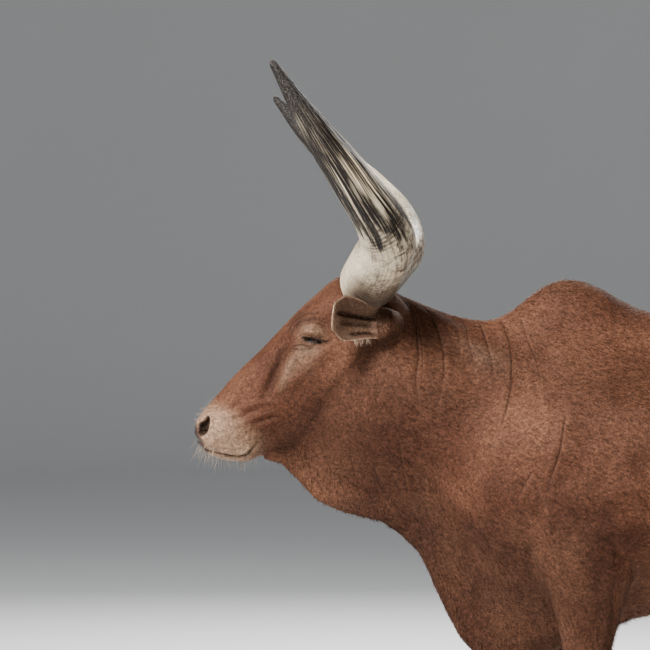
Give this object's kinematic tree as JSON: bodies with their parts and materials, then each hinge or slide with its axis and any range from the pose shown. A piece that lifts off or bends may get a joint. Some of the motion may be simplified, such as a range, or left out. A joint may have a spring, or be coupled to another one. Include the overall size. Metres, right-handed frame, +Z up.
{
  "type": "ankole watusi cattle",
  "caption": "Life-size still model of a humped long-horned bull standing square, with lyre-shaped horns, dewlap and tufted tail.",
  "frame": {"origin": "centre of the whole animal's box, at the level that the hooves stand on", "axes": "+Z up; the bull faces -X; its left side is towards -Y"},
  "size_m": [2.388, 1.1366, 1.9569],
  "materials": {
    "hide": "short flat dark chestnut coat",
    "horn": "satin ivory horn with dark lengthwise streaks and greyish tips",
    "hoof": "dull dark hoof horn",
    "eye": "wet, very dark brown",
    "tail_hair": "long dark hair in locks"
  },
  "bodies": {
    "root": {"head": "hide", "neck": "hide", "hump": "hide", "torso": "hide", "foreleg_left": "hide", "foreleg_right": "hide", "hindleg_left": "hide", "hindleg_right": "hide", "tail": "hide", "ear_left": "hide", "ear_right": "hide", "horn_left": "horn", "horn_right": "horn", "hoof_foreleg_left_inner": "hoof", "hoof_foreleg_left_outer": "hoof", "hoof_foreleg_right_inner": "hoof", "hoof_foreleg_right_outer": "hoof", "hoof_hindleg_left_inner": "hoof", "hoof_hindleg_left_outer": "hoof", "hoof_hindleg_right_inner": "hoof", "hoof_hindleg_right_outer": "hoof", "dewclaw_foreleg_left_inner": "hoof", "dewclaw_foreleg_left_outer": "hoof", "dewclaw_foreleg_right_inner": "hoof", "dewclaw_foreleg_right_outer": "hoof", "dewclaw_hindleg_left_inner": "hoof", "dewclaw_hindleg_left_outer": "hoof", "dewclaw_hindleg_right_inner": "hoof", "dewclaw_hindleg_right_outer": "hoof", "eye_left": "eye", "eye_right": "eye", "tail_switch": "tail_hair"}
  },
  "joints": []
}
